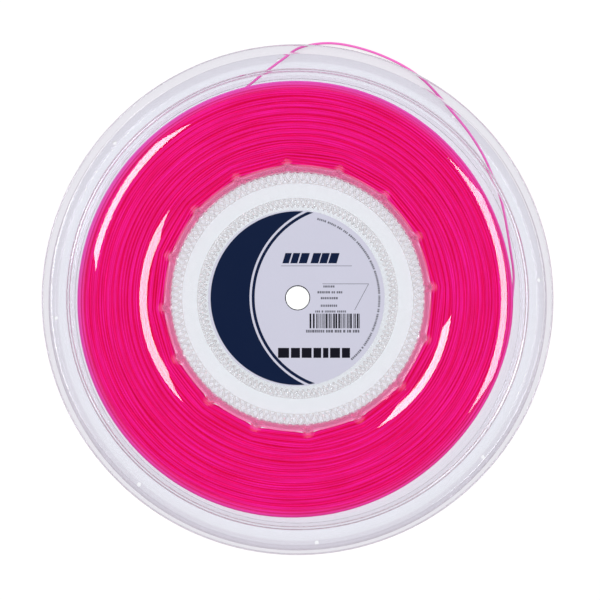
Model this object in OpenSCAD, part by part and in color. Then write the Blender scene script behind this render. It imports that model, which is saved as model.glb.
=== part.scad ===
// String reel: a clear two-part spool, its label, and the racket string wound on it.
// The reel lies flat. +Z runs up through the bore, and z = 0 is the plane that it rests on.

/* [Reel] */
// Outside diameter over the rims
rim_d = 275; // [264:1:300]
// Wall of both moulded halves
wall = 1.6; // [1.2:0.1:2]
// Widest gap between the two flanges, over the flat of their bulge
gap = 18; // [17:0.5:20]
// Diameter at which the flat of the bulge begins
flat_from_d = 188; // [184:1:190]
// Diameter at which the flat of the bulge ends
flat_to_d = 215; // [210:1:218]
// Gap between the two flanges where they leave the barrel
hub_gap = 7.2; // [6.4:0.2:9]
// Slope of the flange between the bulge and the step, in degrees
outer_slope = 9; // [6:0.5:10]
// Radius of the bend from the barrel's side to the flat
inner_bend_r = 45; // [30:1:46]
// Radius of the bend from the flat to the outer slope
outer_bend_r = 36; // [24:1:44]
// Diameter at which the flange steps out to the rim land
step_d = 252.6; // [246:0.2:256]
// How far the rim land stands proud of the bulge
land_proud = 0.4; // [0.2:0.1:1.2]

/* [Hub] */
// Diameter of the barrel between its lobes, where it meets the flange
barrel_d = 142.4; // [140:0.2:146]
// How much smaller the barrel's radius is at the weld than at the flange
barrel_draft = 0.4; // [0.2:0.1:1]
// Number of hollow lobes that carry the string round the barrel
lobe_count = 16; // [12:1:20]
// Radius of a lobe
lobe_r = 3; // [2.4:0.1:3.4]
// How far a lobe stands out of the barrel
lobe_out = 1.8; // [1.2:0.1:2.2]
// Thickness of the web across the hub
web_t = 1.5; // [1:0.1:2]
// How far each web stands back from the weld
web_lift = 0.6; // [0.4:0.1:1]
// Diameter of the spindle bore
bore_d = 12.7; // [10:0.1:20]
// Width of the seat round the bore
bore_seat_w = 2; // [1.2:0.1:4]

/* [Weld ridges] */
// Number of leaning ridges in the outer band, next to the barrel
outer_ridges = 116; // [80:4:132]
// Radial length of the outer band's ridges
outer_ridge_len = 5.1; // [3:0.1:7]
// Number of leaning ridges in the inner band
inner_ridges = 110; // [70:2:126]
// Radial length of the inner band's ridges
inner_ridge_len = 4.9; // [3:0.1:6]
// Diameter over the inner band
inner_band_d = 109; // [106:0.5:114]
// Width of a ridge, and of the ring that a band's ridges stand on
ridge_w = 0.6; // [0.4:0.1:0.9]
// Space left between a ridge and the weld
ridge_gap = 0.1; // [0.05:0.05:0.3]

/* [Rounding] */
// Radius of the rounded mouth of the hub
mouth_r = 1.6; // [0.8:0.1:2]
// Radius in the inner corners of a half
fillet_r = 0.8; // [0.4:0.1:1]
// Radius on the inner edge of the rim land
edge_r = 0.5; // [0.2:0.1:0.8]

/* [Rim holes] */
// Number of tie-off holes through the rear rim
hole_count = 8; // [4:1:12]
// Diameter of a tie-off hole
hole_d = 2.2; // [1.6:0.1:3]
// Place of a tie-off hole across the rim land, from 0 at the step to 1 at the rim
hole_share = 0.65; // [0.5:0.01:0.72]

/* [Label] */
// Diameter of the round label
label_d = 96; // [80:0.5:98]
// Thickness of the label
label_t = 0.2; // [0.1:0.05:0.4]
// How far the label is stuck off centre, to the left
label_off = 0.7; // [0:0.1:1]
// Radius of the label's hole beyond the bore
label_margin = 0.5; // [0.2:0.1:4]

/* [String] */
// Diameter of the string
string_d = 1.3; // [1.1:0.05:1.4]
// Diameter over the wound string
pack_d = 236; // [230:0.5:237]
// Free space left between the wound string and the halves
pack_clear = 0.3; // [0.2:0.05:0.6]
// Turns of the outer layer that cross the front of the wound string
face_turns = 19; // [10:1:19]
// Turns of the outer layer that go down the outside of the wound string
side_turns = 5; // [3:1:5]

/* [Hidden] */

clear_plastic = [0.86, 0.9, 0.95, 0.45];
string_pink = [0.93, 0.08, 0.45];
core_pink = [0.84, 0.04, 0.38];
label_grey = [0.78, 0.79, 0.85];

eps = 0.05;             // overlap that joins shapes of one solid
turned = 4.5;           // degrees from +X to the first lobe and the first tie-off hole

// Heights are measured outwards from the weld, which lies half way up the reel.
rim_r = rim_d / 2;
step_r = step_d / 2;
barrel_r = barrel_d / 2;
bore_r = bore_d / 2;
bulge_top = gap / 2;
land_in = bulge_top + land_proud;
land_top = land_in + wall;
weld_z = land_top;
web_top = web_lift + web_t;
foot_r = barrel_r - barrel_draft;
riser_r = step_r + wall;

// Slope between the barrel and the bulge that brings the flange from one gap to the other. Where
// there is no room for a slope, the bend goes on to the barrel.
inner_run = flat_from_d / 2 - barrel_r;
inner_rise = inner_bend_r - (gap - hub_gap) / 2;
inner_reach = norm([inner_run, inner_rise]);
inner_slope = inner_reach > inner_bend_r
    ? asin(inner_bend_r / inner_reach) - atan(inner_rise / inner_run)
    : asin(inner_run / inner_bend_r);

// Height of one side of the bulge, where x is how far beyond the flat a point lies: a bend, then a slope
function shoulder(x, bend, slope) =
    let (far = bend * sin(slope))
    x <= 0 ? 0
    : x < far ? sqrt(bend * bend - x * x) - bend
    : bend * (cos(slope) - 1) - (x - far) * tan(slope);
// Height of a surface that lies a given distance outside the flange's inner face
function bulge_z(r, out = 0) =
    bulge_top + out + min(
        shoulder(flat_from_d / 2 - r, inner_bend_r + out, inner_slope),
        shoulder(r - flat_to_d / 2, outer_bend_r + out, outer_slope)
    );
flange_in = bulge_z(barrel_r);
function polar(r, a, z = 0) = [r * cos(a), r * sin(a), z];
function unit(v) = v / norm(v);
// Points of an arc about c, from angle a to angle b
function arc(c, r, a, b, n) =
    [for (i = [0 : n]) c + r * [cos(a + (b - a) * i / n), sin(a + (b - a) * i / n)]];
// Points along the bulge from radius a to radius b
function bulge(a, b, out = 0, n = 26) =
    [for (i = [0 : n]) let (r = a + (b - a) * i / n) [r, bulge_z(r, out)]];

// ---------- clear halves ----------

// Section of one half from the weld (0) outwards (+), with the spool's axis at x = 0
function half_section() =
    let (
        root = barrel_r + fillet_r,
        under = wall * 0.8,
        mouth = barrel_r - wall + mouth_r,
        dish = foot_r - wall
    )
    concat(
        [[foot_r, 0]],
        arc([root, bulge_z(root) - fillet_r], fillet_r, 180, 90, 3),
        bulge(root + 0.5, step_r - 0.5),
        arc([riser_r - under, bulge_z(step_r) + under], under, -90, 0, 4),
        arc([riser_r + fillet_r, land_in - fillet_r], fillet_r, 180, 90, 3),
        arc([rim_r - wall / 2, land_in + wall / 2], wall / 2, -90, 90, 6),
        arc([step_r + edge_r, land_top - edge_r], edge_r, 90, 180, 3),
        arc([step_r - fillet_r, bulge_z(step_r - fillet_r, wall) + fillet_r], fillet_r, 0, -90, 3),
        bulge(step_r - fillet_r - 1, mouth + 1, wall),
        arc([mouth, bulge_z(mouth, wall) - mouth_r], mouth_r, 90, 180, 5),
        arc([dish - fillet_r, web_top + fillet_r], fillet_r, 0, -90, 3),
        [
            [bore_r, web_top],
            [bore_r, 0],
            [bore_r + bore_seat_w, 0],
            [bore_r + bore_seat_w, web_lift],
            [dish, web_lift],
            [dish, 0]
        ]
    );

// A round bar that leans outwards with the barrel's draft
module lobe_bar(r, from, to)
    translate([barrel_r + lobe_out - lobe_r - barrel_draft, 0, 0])
        rotate([0, atan(barrel_draft / flange_in), 0])
            translate([0, 0, from])
                cylinder(r = r, h = to - from, $fn = 40);

module round_the_barrel()
    for (i = [0 : lobe_count - 1]) rotate([0, 0, 360 * i / lobe_count]) children();

// The lobes' outer skin ends inside the wall of the barrel and inside the flange.
module lobe_skins()
    difference() {
        intersection() {
            round_the_barrel() lobe_bar(lobe_r, -2, flange_in + wall + 2);
            cylinder(r = step_r, h = flange_in + wall / 2, $fn = 180);
        }
        translate([0, 0, -1])
            cylinder(r = (foot_r + barrel_r - wall) / 2, h = land_top + 2, $fn = 180);
    }

// A ring with ridges that lean by one pitch, so the two halves' ridges cross when welded
module ridge_band(from, to, count) {
    base = from + ridge_w;
    root = ridge_w / base * 90 / PI;
    tip = ridge_w / to * 90 / PI;
    translate([0, 0, ridge_gap]) difference() {
        linear_extrude(web_lift - ridge_gap + eps) polygon([
            for (i = [0 : count - 1])
                let (a = 360 * i / count, b = a + 360 / count)
                each [
                    base * [cos(a - root), sin(a - root)],
                    to * [cos(b - tip), sin(b - tip)],
                    to * [cos(b + tip), sin(b + tip)],
                    base * [cos(a + root), sin(a + root)]
                ]
        ]);
        translate([0, 0, -1]) cylinder(r = from, h = web_lift + 2, $fn = 180);
    }
}

module weld_ridges() {
    outer = foot_r - wall;
    ridge_band(outer - outer_ridge_len, outer + wall / 4, outer_ridges);
    ridge_band(inner_band_d / 2 - inner_ridge_len, inner_band_d / 2, inner_ridges);
}

module half(holes = 0)
    difference() {
        union() {
            rotate_extrude($fn = 180) polygon(half_section());
            lobe_skins();
            weld_ridges();
        }
        round_the_barrel() lobe_bar(lobe_r - wall, web_top + eps, land_top + 3);
        if (holes > 0)
            for (i = [0 : holes - 1]) rotate([0, 0, 360 * i / holes])
                translate([step_r + (rim_r - step_r) * hole_share, 0, land_in - 1])
                    cylinder(d = hole_d, h = wall + 2, $fn = 24);
    }

module front_half()
    color(clear_plastic) translate([0, 0, weld_z]) rotate([0, 0, turned]) half();

module rear_half()
    color(clear_plastic) translate([0, 0, weld_z]) rotate([180, 0, turned]) half(hole_count);

// ---------- label ----------

module front_label()
    color(label_grey) translate([-label_off, 0, weld_z + web_top]) difference() {
        cylinder(d = label_d, h = label_t, $fn = 120);
        translate([label_off, 0, -1]) cylinder(r = bore_r + label_margin, h = label_t + 2, $fn = 48);
    }

// ---------- wound string ----------

loop_rings = 24;        // rings of the tube in one turn
loop_step = 360 / loop_rings;
tube_seat = 0.15;       // space between the outer layer and the turns beneath it
tube_out = pack_clear + string_d / 2;
layer = string_d / 2 + tube_seat;
wound_r = pack_d / 2 - string_d / 2;            // centre of the outer layer's last turns
dip = wound_r * (1 - cos(loop_step / 2));       // how far a straight piece of a turn cuts in
core_r = wound_r - dip - layer;
lobe_peak = barrel_r + lobe_out;
first_r = lobe_peak + 3;                        // centre of the innermost turn
start_z = bulge_z(lobe_peak, -tube_out);        // height at which the string leaves a lobe
corner_r = 2;                                   // the layer's bend from the front to the outside
bend_r = wound_r - corner_r;
bend_z = bulge_z(bend_r, -tube_out) - corner_r;

// The string's turns span from lobe to lobe, so the core's opening has flat sides.
lobe_mid = barrel_r + lobe_out - lobe_r;
span_r = (lobe_mid * cos(180 / lobe_count) + lobe_r + pack_clear) / cos(180 / lobe_count);

// Section of the turns beneath the outer layer, from the rear flange to the front
function core_section() =
    concat(
        bulge(first_r - 8, core_r - 1.5, -pack_clear) * [[1, 0], [0, -1]],
        [[core_r, -bulge_z(core_r - 1.5, -pack_clear) + 1.5]],
        arc([core_r - corner_r + layer, bend_z], corner_r - layer, 0, 90, 3),
        bulge(bend_r - dip - 1, first_r, -tube_out - layer),
        [[first_r - 1, start_z - layer], [first_r - 8, start_z - layer]]
    );

module string_core()
    color(core_pink) translate([0, 0, weld_z]) difference() {
        rotate_extrude($fn = 180) polygon(core_section());
        rotate([0, 0, turned]) translate([0, 0, -land_top]) linear_extrude(2 * land_top)
            polygon([for (i = [0 : lobe_count - 1]) polar(span_r, 360 * i / lobe_count) * [[1, 0], [0, 1], [0, 0]]]);
    }

// The outer layer runs across the front, over the bend and down the outside.
face_len = bend_r - first_r;
bend_len = corner_r * PI / 2;
pitch_in = (face_len + bend_len) / face_turns;
pitch_down = string_d + 0.6;

// Centre of the layer's section after k turns, as radius and height
function layer_at(k) =
    let (s = k * pitch_in, b = (s - face_len) / bend_len * 90)
    s < face_len ? [first_r + s, bulge_z(first_r + s, -tube_out)]
    : b < 90 ? [bend_r + corner_r * sin(b), bend_z + corner_r * cos(b)]
    : [wound_r, bend_z - (k - face_turns) * pitch_down];

turns = face_turns + side_turns;
last_ring = turns * loop_rings;

// The string starts square to a lobe, bends beside it and runs into the first turn.
start_bend = 1.5;
start_r = first_r - start_bend;
function start_at(b) =
    let (r = start_r + start_bend * sin(b), a = turned + (1 - cos(b)) * start_bend / r * 180 / PI)
    polar(r, a, b > 0 ? bulge_z(r, -tube_out) : start_z);

wound = concat(
    [polar(lobe_peak + 0.05, turned, start_z)],
    [for (b = [0, 45, 90]) start_at(b)],
    [for (i = [1 : last_ring]) let (at = layer_at(i / loop_rings)) polar(at[0], i * loop_step, at[1])]
);

// Least space between a turn and the next ones, measured between the tube's ring centres
least_gap = min([
    for (i = [4 : len(wound) - 13]) for (j = [i + 12 : min(i + 36, len(wound) - 1)])
        norm(wound[i] - wound[j])
]) - string_d;
echo(str("least gap between turns: ", least_gap, " mm, in ", turns, " turns"));

// ---------- loose strand ----------

// Hand-set points of the turn that has sprung out, with heights from the weld
route = [
    [118.5, 13, -5.5],
    [117, 27, -6.5],
    [112.5, 52.5, -5.9],
    [108, 66, -5.5],
    [103, 78, -5.5],
    [96, 90.5, -7.4],
    [87.5, 102, -8.6],
    [67.5, 124, -8.6],
    [47.5, 135.5, -8.6],
    [25.5, 142, -8.6],
    [12, 142.5, -8.6],
    [0, 139.5, -8.6],
    [-7, 134.5, -8.5],
    [-12, 130.5, -7.2],
    [-18, 125.5, -5.5],
    [-26, 119, -6],
    [-31, 115, -6]
];
reentry_a = 106.5;      // angle at which the strand dives back into the wound string
reentry_z = -6;

handover = wound[len(wound) - 1];
leaving = unit(handover - wound[len(wound) - 2]);
strand_knots = concat(
    [handover, handover + leaving * 2],
    route,
    [polar(core_r + string_d + 0.3, reentry_a, reentry_z), polar(core_r + 0.02, reentry_a, reentry_z)]
);

// A point between b and c of a smooth curve through a, b, c and d, spaced by their distances
function between(a, b, c, d, t) =
    let (
        k1 = sqrt(norm(b - a)),
        k2 = k1 + sqrt(norm(c - b)),
        k3 = k2 + sqrt(norm(d - c)),
        k = k1 + (k2 - k1) * t,
        ab = a + (b - a) * k / k1,
        bc = b + (c - b) * (k - k1) / (k2 - k1),
        cd = c + (d - c) * (k - k2) / (k3 - k2),
        abc = ab + (bc - ab) * k / k2,
        bcd = bc + (cd - bc) * (k - k1) / (k3 - k1)
    )
    abc + (bcd - abc) * (k - k1) / (k2 - k1);

strand_step = string_d * 3;
strand = concat(
    [strand_knots[0]],
    [
        for (i = [1 : len(strand_knots) - 3])
            let (
                b = strand_knots[i],
                c = strand_knots[i + 1],
                n = max(1, round(norm(c - b) / strand_step))
            )
            for (j = [0 : n - 1]) between(strand_knots[i - 1], b, c, strand_knots[i + 2], j / n)
    ],
    [strand_knots[len(strand_knots) - 2], strand_knots[len(strand_knots) - 1]]
);
function run_to(p, i) = i == 0 ? 0 : norm(p[i] - p[i - 1]) + run_to(p, i - 1);
echo(str("loose strand: ", run_to(strand, len(strand) - 1), " mm in ", len(strand), " rings"));

// Direction of a tube at ring i: its ends are square, and the rest are mitred
function heading(p, i) =
    i == 0 ? unit(p[1] - p[0])
    : i == len(p) - 1 ? unit(p[i] - p[i - 1])
    : unit(unit(p[i + 1] - p[i]) + unit(p[i] - p[i - 1]));

module tube(p, d, sides) {
    n = len(p);
    rings = [
        for (i = [0 : n - 1])
            let (t = heading(p, i), side = unit(cross(t, [0, 0, 1])), up = cross(side, t))
            for (j = [0 : sides - 1])
                let (a = 360 * (j + 0.5) / sides)
                p[i] + d / 2 * (cos(a) * side + sin(a) * up)
    ];
    walls = [
        for (i = [0 : n - 2]) for (j = [0 : sides - 1])
            let (k = (j + 1) % sides, a = i * sides, b = a + sides)
            each [[a + j, b + j, b + k], [a + j, b + k, a + k]]
    ];
    end = n * sides - sides;
    caps = [for (j = [1 : sides - 2]) each [[0, j, j + 1], [end, end + j + 1, end + j]]];
    polyhedron(rings, concat(walls, caps));
}

module string_turns()
    color(string_pink) translate([0, 0, weld_z]) tube(wound, string_d, 6);

module loose_strand()
    color(string_pink) translate([0, 0, weld_z]) tube(strand, string_d, 8);

front_half();
rear_half();
front_label();
string_core();
string_turns();
loose_strand();
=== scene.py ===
import bpy
import math
import numpy as np
from mathutils import Matrix, Vector


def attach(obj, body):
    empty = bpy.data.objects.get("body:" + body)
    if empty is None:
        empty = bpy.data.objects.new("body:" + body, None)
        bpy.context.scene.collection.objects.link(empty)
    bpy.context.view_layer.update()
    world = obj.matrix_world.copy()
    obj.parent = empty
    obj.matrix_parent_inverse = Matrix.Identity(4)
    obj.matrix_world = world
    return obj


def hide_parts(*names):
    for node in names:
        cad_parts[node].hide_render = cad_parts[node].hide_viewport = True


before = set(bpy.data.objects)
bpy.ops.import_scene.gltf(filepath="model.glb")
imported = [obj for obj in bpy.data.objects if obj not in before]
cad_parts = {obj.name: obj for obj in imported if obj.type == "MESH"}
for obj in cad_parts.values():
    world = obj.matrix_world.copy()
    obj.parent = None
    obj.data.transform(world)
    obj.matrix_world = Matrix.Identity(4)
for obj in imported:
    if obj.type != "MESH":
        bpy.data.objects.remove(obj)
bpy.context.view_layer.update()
mm = 0.001
weldZ = 11.0  # mm, the plane where the two halves meet, half way up the reel
lobePhase = 4.5  # degrees from +X to the first lobe and the first tie-off hole

# The moulding's sizes in mm and degrees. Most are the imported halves' own; the riser's place, the slopes,
# the fold in the land and the small corners differ from them
reelDims = {
    "rimRadius": 137.5,
    "wall": 1.6,
    "bulgeTop": 9.0,
    "flatFrom": 94.0,
    "flatTo": 107.5,
    "innerSlope": 20.0,
    "outerSlope": 9.8,
    "innerBend": 45.0,
    "outerBend": 36.0,
    "riserAt": 122.6,
    "riserDraft": 0.12,
    "riserCorner": 0.18,
    "beadAt": 132.3,
    "beadRise": 0.18,
    "landIn": 9.4,
    "barrelRadius": 71.2,
    "barrelDraft": 0.4,
    "lobes": 16,
    "lobeSteps": 24,
    "lobeRadius": 3.0,
    "lobeOut": 1.8,
    "lobeBlend": 0.35,  # how softly a lobe runs into the barrel
    "lobeFade": 4.0,  # and over what width it fades into the flange
    "webTop": 2.1,
    "webLift": 0.6,
    "webEdge": 60.0,  # nothing of a lobe reaches further in than this
    "boreRadius": 6.35,
    "boreSeat": 2.0,
    "mouthRadius": 1.6,
    "fillet": 0.8,
    "tinyCorner": 0.12,  # the smallest corner that a mould leaves
    "tintFrom": 0.7,  # the barrel's pink-tinted plastic, painted light for the string seen through it, starts this far inside its wall
    "tintTo": 1.4,  # and ends this far outside it
    "holes": 8,
    "holeRadius": 1.1,
    "holeAt": 133.58,
}

stringDims = {
    "diameter": 1.3,
    "clear": 0.3,  # left between the string and the flange
    "woundRadius": 117.35,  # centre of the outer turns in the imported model
    "cornerRadius": 2.0,
    "innerRadius": 73.75,  # centre of the first turn where it passes a lobe
    "edgeMean": 117.7,  # outside of the wound string
    # Each wave: how often it goes round the circle, its height, and the degrees of its crest
    "edgeWaves": ((1, 1.95, 178.0), (2, 0.75, 68.0)),
    # The bulge under the last turn: its height, and its place and width in degrees
    "edgeSwell": (1.3, -8.0, 24.0),
    "uvLength": 60.0,  # string to one unit of its UV map
}


def smoothStep(x):
    x = np.clip(x, 0.0, 1.0)
    return x * x * (3 - 2 * x)


def arcPoints(centre, radius, fromDeg, toDeg, count):
    # centre + radius * (cos a, sin a), with a in even steps
    a = np.radians(np.linspace(fromDeg, toDeg, count + 1))
    return np.stack([centre[0] + radius * np.cos(a), centre[1] + radius * np.sin(a)], 1)


def bulgeHeight(r, out=0.0):
    # Height above the weld of a surface that lies out from the flange's inner face: flat in the middle,
    # and on each side a circular bend and then a straight slope
    d = reelDims

    def shoulder(x, bend, slope):
        s = math.radians(slope)
        far = bend * math.sin(s)
        x = np.maximum(x, 0)
        bent = np.sqrt(np.maximum(bend * bend - np.minimum(x, far) ** 2, 0)) - bend
        return np.where(x < far, bent, bend * (math.cos(s) - 1) - (x - far) * math.tan(s))

    r = np.asarray(r, float)
    return d["bulgeTop"] + out + np.minimum(
        shoulder(d["flatFrom"] - r, d["innerBend"] + out, d["innerSlope"]),
        shoulder(r - d["flatTo"], d["outerBend"] + out, d["outerSlope"]))


def bulgeLine(a, b, out):
    # Points along the bulge between two radii, close together in its two bends
    d = reelDims
    inner = d["flatFrom"] - (d["innerBend"] + out) * math.sin(math.radians(d["innerSlope"]))
    outer = d["flatTo"] + (d["outerBend"] + out) * math.sin(math.radians(d["outerSlope"]))
    stops = [a, inner, d["flatFrom"], d["flatTo"], outer, b]
    steps = [3, 22, 4, 12, 4]
    runs = [np.linspace(p, q, n, endpoint=False) for p, q, n in zip(stops[:-1], stops[1:], steps)]
    r = np.concatenate([*runs, [b]])
    return np.stack([r, bulgeHeight(r, out)], 1)


def addObject(name, data):
    item = bpy.data.objects.new(name, data)
    bpy.context.scene.collection.objects.link(item)
    return item


def addMesh(name, points, faces, smooth=True, uv=None, marks=None):
    # Points in mm; uv holds a pair for every point, and each mark a number
    mesh = bpy.data.meshes.new(name)
    rows = faces if isinstance(faces, list) else faces.tolist()
    mesh.from_pydata(np.asarray(points, float).reshape(-1, 3) * mm, [], rows)
    mesh.polygons.foreach_set("use_smooth", np.full(len(mesh.polygons), smooth))
    if uv is not None:
        layer = mesh.uv_layers.new(name="UVMap")
        corner = np.empty(len(mesh.loops), np.int32)
        mesh.loops.foreach_get("vertex_index", corner)
        layer.data.foreach_set("uv", np.asarray(uv, np.float32).reshape(-1, 2)[corner].ravel())
    for label, values in (marks or {}).items():
        mark = mesh.attributes.new(label, "FLOAT", "POINT")
        mark.data.foreach_set("value", values.astype(np.float32))
    mesh.update()
    return addObject(name, mesh)


def gridFaces(rows, columns, closeRows=False, closeColumns=False, flip=False):
    # Quads between neighbours of a rows by columns grid of points, numbered row by row
    i = np.arange(rows if closeRows else rows - 1)
    j = np.arange(columns if closeColumns else columns - 1)
    i, j = np.meshgrid(i, j, indexing="ij")
    k, m = (i + 1) % rows, (j + 1) % columns
    quads = np.stack([i * columns + j, k * columns + j, k * columns + m, i * columns + m], -1)
    quads = quads.reshape(-1, 4)
    return quads[:, ::-1] if flip else quads


def pathFrames(path):
    # Two unit vectors across a path: one level, and one that is square to it and to the path
    along = np.gradient(path, axis=0)
    along /= np.linalg.norm(along, axis=1, keepdims=True)
    side = np.cross(along, [0, 0, 1])
    side /= np.linalg.norm(side, axis=1, keepdims=True)
    return side, np.cross(side, along)


def tubeAlong(name, path, diameter, sides, edge=None):
    # A circle of points round each point of the path: p + radius * (cos a * side + sin a * up), closed by
    # one point at each end; u runs along the string and v round it
    path = np.asarray(path, float)
    side, up = pathFrames(path)
    a = 2 * np.pi * (np.arange(sides) + 0.5) / sides
    spokes = np.cos(a)[None, :, None] * side[:, None] + np.sin(a)[None, :, None] * up[:, None]
    rings = path[:, None] + diameter / 2 * spokes
    n = len(path)
    points = np.concatenate([rings.reshape(-1, 3), path[:1], path[-1:]])
    j = np.arange(sides)
    k = (j + 1) % sides
    first = np.stack([np.full(sides, n * sides), j, k], 1)
    last = np.stack([np.full(sides, n * sides + 1), (n - 1) * sides + k, (n - 1) * sides + j], 1)
    faces = gridFaces(n, sides, closeColumns=True).tolist() + first.tolist() + last.tolist()
    steps = np.linalg.norm(np.diff(path, axis=0), axis=1)
    run = np.concatenate([[0], np.cumsum(steps)]) / stringDims["uvLength"]
    uv = np.stack(np.broadcast_arrays(run[:, None], a[None] / (2 * np.pi)), -1).reshape(-1, 2)
    uv = np.concatenate([uv, [[0, 0], [run[-1], 0]]])
    share = np.zeros(n) if edge is None else edge
    marks = {
        # The share of painted light by the pack's outside
        "edgeLightShare": np.concatenate([np.repeat(share, sides), share[:1], share[-1:]]),
        "crest": np.concatenate([np.tile(np.abs(np.sin(a)), n), [0, 0]]),  # 1 on top, 0 at the sides, where the painted highlight and painted shade go
    }
    return addMesh(name, points, faces, uv=uv, marks=marks)


cameraSet = {
    "place": (0.0013, -0.0443, 0.7608),
    "target": (0.0013, -0.0017, 0.022),
    "lens": 82.7,
}


def addCamera():
    data = bpy.data.cameras.new("viewCamera")
    data.lens = cameraSet["lens"]
    data.sensor_width = 36.0
    camera = addObject("viewCamera", data)
    camera.location = cameraSet["place"]
    aim = Vector(cameraSet["target"]) - Vector(cameraSet["place"])
    camera.rotation_euler = aim.to_track_quat("-Z", "Y").to_euler()
    bpy.context.scene.camera = camera


addCamera()
print("camera set")


# The turn that has sprung out of the pack, in mm and degrees
strandDims = {
    "drop": 9.5,  # from the pack's edge bend down to where the strand leaves it
    "lastAngle": 15.0,  # the way that it leaves is taken from the last turn's point this far back
    "lastDrop": 1.9 / 24,  # and this much higher
    "layer": 0.8,  # from the last turn down to the core
    "diveAngle": 106.5,
    "diveZ": -6.0,
    "diveOut": (1.6, 0.02),  # how far outside the core its last two points lie
    "sides": 16,
    # Points between, with heights from the weld
    "route": [
        (118.5, 13, -5.5), (117, 27, -6.5), (112.5, 52.5, -5.9), (108, 66, -5.5), (103, 78, -5.5),
        (96, 90.5, -7.4), (87.5, 102, -8.6), (67.5, 124, -8.6), (47.5, 135.5, -8.6), (25.5, 142, -8.6),
        (12, 142.5, -8.6), (0, 139.5, -8.6), (-7, 134.5, -8.5), (-12, 130.5, -7.2), (-18, 125.5, -5.5),
        (-26, 119, -6), (-31, 115, -6),
    ],
}


def leaveHeight():
    # The strand leaves the outside of the pack, some way below the bend at its edge
    s = stringDims
    bendR = s["woundRadius"] - s["cornerRadius"]
    bendZ = float(bulgeHeight(bendR, -(s["clear"] + s["diameter"] / 2))) - s["cornerRadius"]
    return bendZ - strandDims["drop"]


def strandPath():
    # A smooth curve through the knots, each span blended from its four nearest knots by the roots of
    # their distances
    d = strandDims
    wound = stringDims["woundRadius"]
    start = np.array([wound, 0, leaveHeight()])
    back = math.radians(d["lastAngle"])
    before = np.array([wound * math.cos(back), -wound * math.sin(back), start[2] + d["lastDrop"]])
    leaving = (start - before) / np.linalg.norm(start - before)
    coreR = wound - wound * (1 - math.cos(math.radians(d["lastAngle"] / 2))) - d["layer"]
    dive = math.radians(d["diveAngle"])
    inner = [coreR + out for out in d["diveOut"]]
    ends = [(r * math.cos(dive), r * math.sin(dive), d["diveZ"]) for r in inner]
    knots = np.array([start, start + 2 * leaving, *d["route"], *ends], float)
    a, b, c, e = knots[:-3], knots[1:-2], knots[2:-1], knots[3:]
    k1 = np.sqrt(np.linalg.norm(b - a, axis=1))[:, None, None]
    k2 = k1 + np.sqrt(np.linalg.norm(c - b, axis=1))[:, None, None]
    k3 = k2 + np.sqrt(np.linalg.norm(e - c, axis=1))[:, None, None]
    k = k1 + (k2 - k1) * np.linspace(0, 1, 12, endpoint=False)[None, :, None]
    a, b, c, e = (p[:, None] for p in (a, b, c, e))
    ab = a + (b - a) * k / k1
    bc = b + (c - b) * (k - k1) / (k2 - k1)
    ce = c + (e - c) * (k - k2) / (k3 - k2)
    abc = ab + (bc - ab) * k / k2
    bce = bc + (ce - bc) * (k - k1) / (k3 - k1)
    curve = (abc + (bce - abc) * (k - k1) / (k2 - k1)).reshape(-1, 3)
    path = np.concatenate([knots[:1], curve, knots[-2:]])
    path[:, 2] += weldZ
    return path


strandLine = strandPath()
looseStrand = tubeAlong("looseString", strandLine, stringDims["diameter"], strandDims["sides"])
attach(looseStrand, "root")
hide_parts("loose_strand")


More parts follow.
